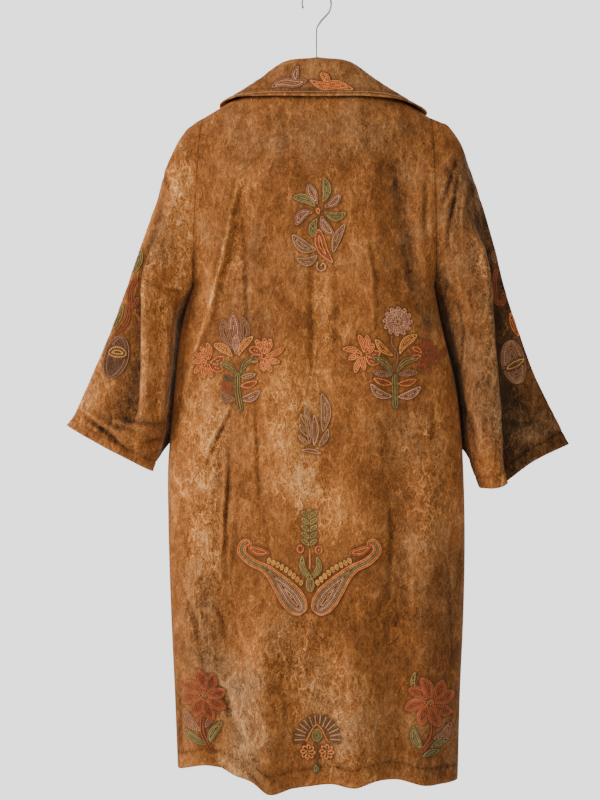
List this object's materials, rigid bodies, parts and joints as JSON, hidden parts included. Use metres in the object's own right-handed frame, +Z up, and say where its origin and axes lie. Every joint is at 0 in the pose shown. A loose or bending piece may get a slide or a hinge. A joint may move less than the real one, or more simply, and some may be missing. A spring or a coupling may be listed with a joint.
{
  "type": "velvet coat on coat hanger",
  "caption": "Long open-fronted velvet coat with wide sleeves and a turned-down collar, hanging flat on a coat hanger with a wire hook.",
  "frame": {"origin": "the inside of the hook's bend, at the point where a rail or peg carries the hanger", "axes": "+Z up, -Y towards the coat's front and +Y towards its back, +X towards the wearer's left sleeve"},
  "size_m": [0.8346, 0.151, 1.3052],
  "materials": {
    "velvet": "crushed velvet, rust to caramel, soft nap with light creases",
    "hanger_wood": "plain varnished wood",
    "hanger_wire": "bright steel wire"
  },
  "bodies": {
    "root": {"back": "velvet", "front_left": "velvet", "front_right": "velvet", "sleeve_left": "velvet", "sleeve_right": "velvet", "collar": "velvet", "hanger_bar": "hanger_wood", "hanger_hook": "hanger_wire"}
  },
  "joints": []
}
